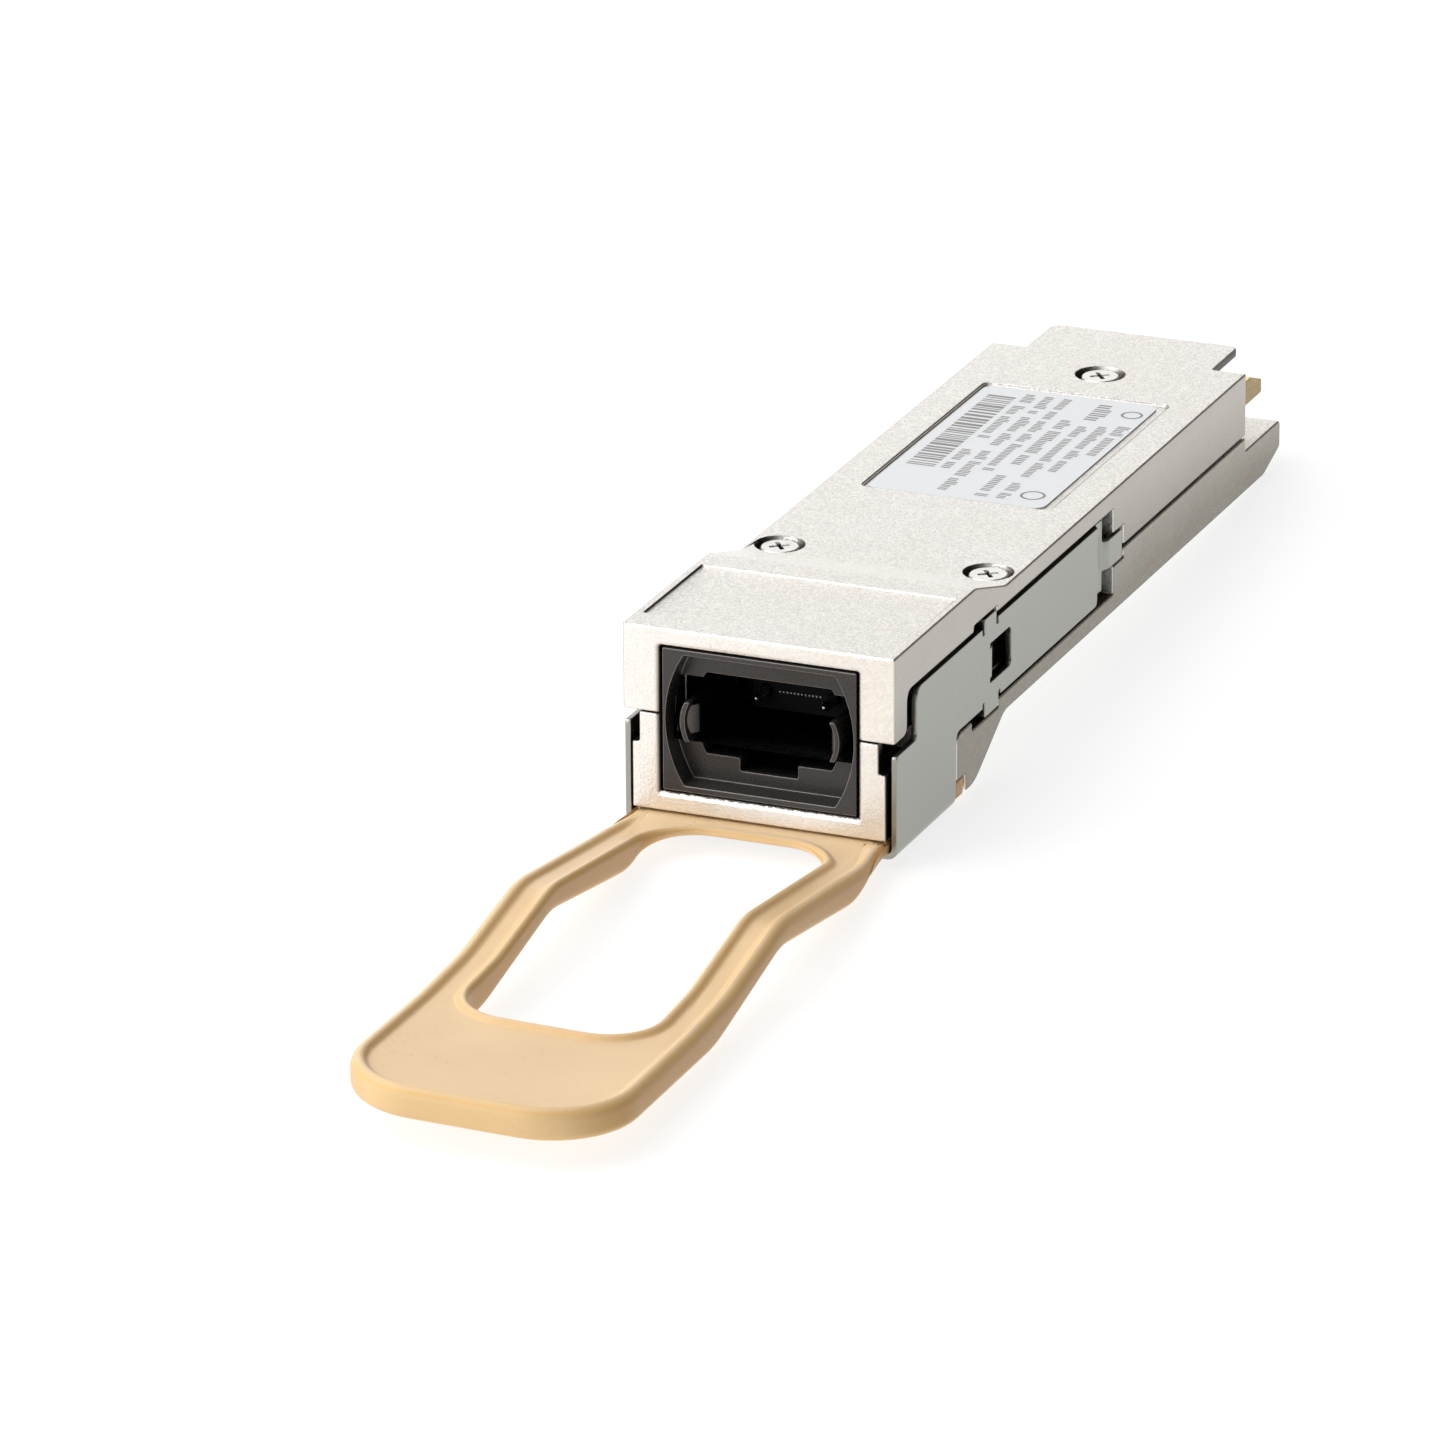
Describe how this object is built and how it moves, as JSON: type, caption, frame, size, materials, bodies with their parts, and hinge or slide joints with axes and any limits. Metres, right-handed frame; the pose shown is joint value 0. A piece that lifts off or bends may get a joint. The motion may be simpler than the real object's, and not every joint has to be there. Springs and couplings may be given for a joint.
{
  "type": "optical transceiver module",
  "caption": "Pluggable optical transceiver module: slim metal housing with a multi-fibre socket in its nose, a rear card edge, a sliding latch frame and a long looped pull tab.",
  "frame": {"origin": "middle of the bounding box's bottom: on the module's centre plane, 12.8 mm behind the nose's front face and 4.8 mm below the underside of the body", "axes": "+Y runs back along the module, from the pull tab to the card edge; +Z points out of the label side; X is across the module"},
  "size_m": [0.0184, 0.1182, 0.0149],
  "materials": {
    "housing": "nickel-plated zinc die casting, finely blasted to a satin sparkle",
    "screw": "bright plated steel, cross recess",
    "label": null,
    "latch": "smooth satin stainless sheet",
    "tab": "beige moulded elastomer, satin with a fine grain",
    "spring": "bright spring wire and ground pins",
    "socket": "charcoal glass-filled plastic, soft sheen",
    "ferrule": "dark glass-filled thermoplastic",
    "gasket": "grey conductive elastomer",
    "ribbon": "clear matrix over coloured fibres",
    "lens": "amber optical resin, polished",
    "board": "green solder mask over glass laminate, gold contacts",
    "chip": "moulded black package and bare dies",
    "ceramic": "tan ceramic with tinned ends",
    "pad": "soft grey-blue gap filler"
  },
  "bodies": {
    "housing": {"top_shell": "housing", "bottom_shell": "housing", "cover_screw_front_left": "screw", "cover_screw_front_right": "screw", "cover_screw_rear": "screw", "product_label": "label", "latch_spring_right": "spring", "latch_spring_left": "spring", "fibre_socket": "socket", "mt_ferrule": "ferrule", "guide_pin_right": "spring", "guide_pin_left": "spring", "pin_keeper": "spring", "emi_gasket": "gasket", "fibre_ribbon": "ribbon", "lens_block": "lens", "vcsel_array": "chip", "photodiode_array": "chip", "laser_driver_ic": "chip", "receiver_ic": "chip", "circuit_board": "board", "microcontroller": "chip", "power_inductor": "chip", "capacitor_1": "ceramic", "capacitor_2": "ceramic", "capacitor_3": "ceramic", "capacitor_4": "ceramic", "thermal_pad_top": "pad", "thermal_pad_bottom": "pad"},
    "release_latch": {"latch_slider": "latch", "pull_tab": "tab"},
    "plug_latch_right": {"socket_latch_right": "socket"},
    "plug_latch_left": {"socket_latch_left": "socket"}
  },
  "joints": [
    {"name": "latch_slide", "type": "slide", "parent": "housing", "child": "release_latch", "axis": [0, -1, 0], "range_m": [0, 0.0015], "stiffness_N_per_m": 1200, "springref_m": -0.002, "deforming": ["latch_spring_right", "latch_spring_left"]},
    {"name": "plug_latch_right_flex", "type": "hinge", "parent": "housing", "child": "plug_latch_right", "pos_m": [0.00522, -0.00395, 0.0088], "axis": [0, 0, 1], "range_deg": [0, 3.5], "stiffness_Nm_per_rad": 0.1},
    {"name": "plug_latch_left_flex", "type": "hinge", "parent": "housing", "child": "plug_latch_left", "pos_m": [-0.00522, -0.00395, 0.0088], "axis": [0, 0, -1], "range_deg": [0, 3.5], "stiffness_Nm_per_rad": 0.1}
  ]
}
